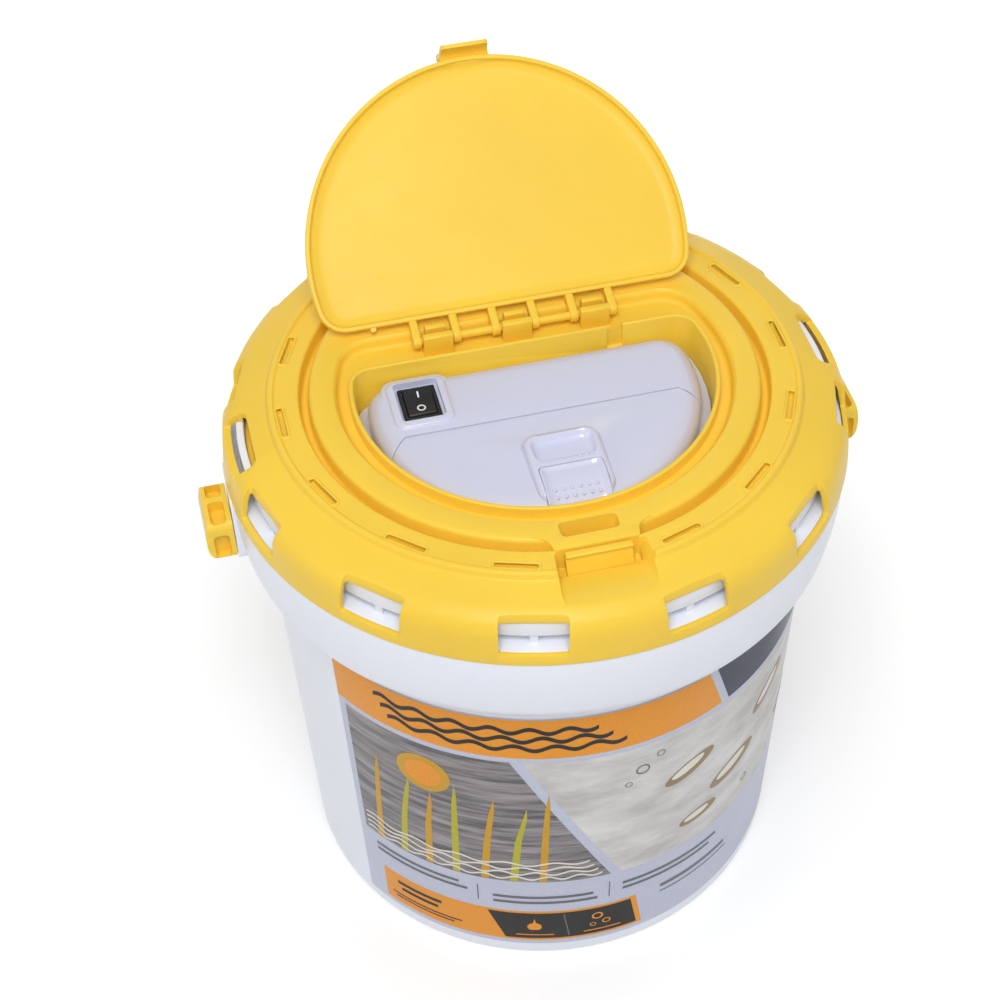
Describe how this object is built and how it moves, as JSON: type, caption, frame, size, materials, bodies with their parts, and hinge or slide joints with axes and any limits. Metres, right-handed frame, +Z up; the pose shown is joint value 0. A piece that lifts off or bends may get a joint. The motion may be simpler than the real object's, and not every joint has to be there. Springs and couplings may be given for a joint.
{
  "type": "bait bucket",
  "caption": "Insulated round bait pail with a bail handle, a push-on lid with a D-shaped access door, and a battery air pump with a rocker switch set in the lid.",
  "frame": {"origin": "centre of the pail's base, on the surface that it stands on", "axes": "+Z up along the pail's axis, -Y towards the lid's latch, +X to the right of the latch"},
  "size_m": [0.274, 0.25, 0.3371],
  "materials": {
    "white_shell": "satin white moulded plastic",
    "foam": "bead foam",
    "label_film": "printed film",
    "yellow_handle": "satin yellow moulded plastic",
    "yellow_shell": "satin yellow moulded plastic",
    "yellow_door": "satin yellow moulded plastic",
    "white_housing": "glossy white moulded plastic",
    "screw_steel": "plated steel",
    "black_rubber": "matt rubber",
    "black_switch": "satin black moulded plastic",
    "cell_wrap": "plain wrapped cell",
    "contact_metal": "nickel-plated spring steel",
    "wire_insulation": "soft insulation",
    "motor_can": "zinc-plated steel",
    "shaft_steel": "ground steel",
    "white_chassis": "plain moulded plastic",
    "grey_plastic": "plain moulded plastic",
    "clear_tube": "soft clear tube"
  },
  "bodies": {
    "pail_body": {"pail": "white_shell", "foam_liner": "foam", "label": "label_film"},
    "lid_body": {"lid": "yellow_shell", "aerator_base": "white_housing", "flange_screw_1": "screw_steel", "flange_screw_2": "screw_steel", "flange_screw_3": "screw_steel", "flange_screw_4": "screw_steel", "housing_gasket": "black_rubber", "aerator_cover": "white_housing", "switch_body": "black_switch", "battery_left": "cell_wrap", "battery_spring_left": "contact_metal", "battery_right": "cell_wrap", "contact_plate": "contact_metal", "battery_wire": "wire_insulation", "motor_wire": "wire_insulation", "return_wire": "wire_insulation", "motor": "motor_can", "pump_chassis": "white_chassis", "pump_diaphragm": "black_rubber", "pump_body": "white_chassis", "valve_plate": "black_rubber", "pump_head": "white_chassis", "air_tube": "clear_tube", "outlet_nipple": "white_chassis"},
    "door": {"access_door": "yellow_door"},
    "catch": {"door_catch": "yellow_shell"},
    "battery_cover": {"battery_door": "white_housing", "contact_strip": "contact_metal", "battery_spring_right": "contact_metal"},
    "thumb_pad": {"thumb_latch": "white_housing"},
    "rocker": {"switch_rocker": "black_switch"},
    "handle": {"bail_handle": "yellow_handle"},
    "crank": {"crank_shaft": "shaft_steel"},
    "rod": {"connecting_rod": "grey_plastic"}
  },
  "joints": [
    {"name": "lid_lift", "type": "slide", "parent": "pail_body", "child": "lid_body", "axis": [0, 0, 1], "range_m": [0, 0.25]},
    {"name": "door_hinge", "type": "hinge", "parent": "lid_body", "child": "door", "pos_m": [0, 0.0316, 0.2506], "axis": [1, 0, 0], "range_deg": [0, 136.2]},
    {"name": "catch_flex", "type": "hinge", "parent": "lid_body", "child": "catch", "pos_m": [0, -0.0971, 0.2415], "axis": [1, 0, 0], "range_deg": [0, 5], "stiffness_Nm_per_rad": 0.5},
    {"name": "battery_door_slide", "type": "slide", "parent": "lid_body", "child": "battery_cover", "axis": [0, -1, 0], "range_m": [0, 0.003]},
    {"name": "thumb_press", "type": "hinge", "parent": "battery_cover", "child": "thumb_pad", "pos_m": [0.002, -0.0478, 0.244], "axis": [1, 0, 0], "range_deg": [0, 5], "stiffness_Nm_per_rad": 0.5},
    {"name": "switch_rock", "type": "hinge", "parent": "lid_body", "child": "rocker", "pos_m": [-0.0455, 0.0041, 0.2421], "axis": [1, 0, 0], "range_deg": [-14, 0]},
    {"name": "handle_hinge", "type": "hinge", "parent": "pail_body", "child": "handle", "pos_m": [0, 0, 0.2], "axis": [1, 0, 0], "range_deg": [0, 280.9]},
    {"name": "motor_spin", "type": "hinge", "parent": "lid_body", "child": "crank", "pos_m": [-0.022, -0.0014, 0.205], "axis": [0, 0, 1], "continuous": true},
    {"name": "rod_rock", "type": "hinge", "parent": "lid_body", "child": "rod", "pos_m": [0.006, -0.0014, 0.2154], "axis": [0, 0, 1], "range_deg": [-3, 3], "stiffness_Nm_per_rad": 0.05}
  ]
}
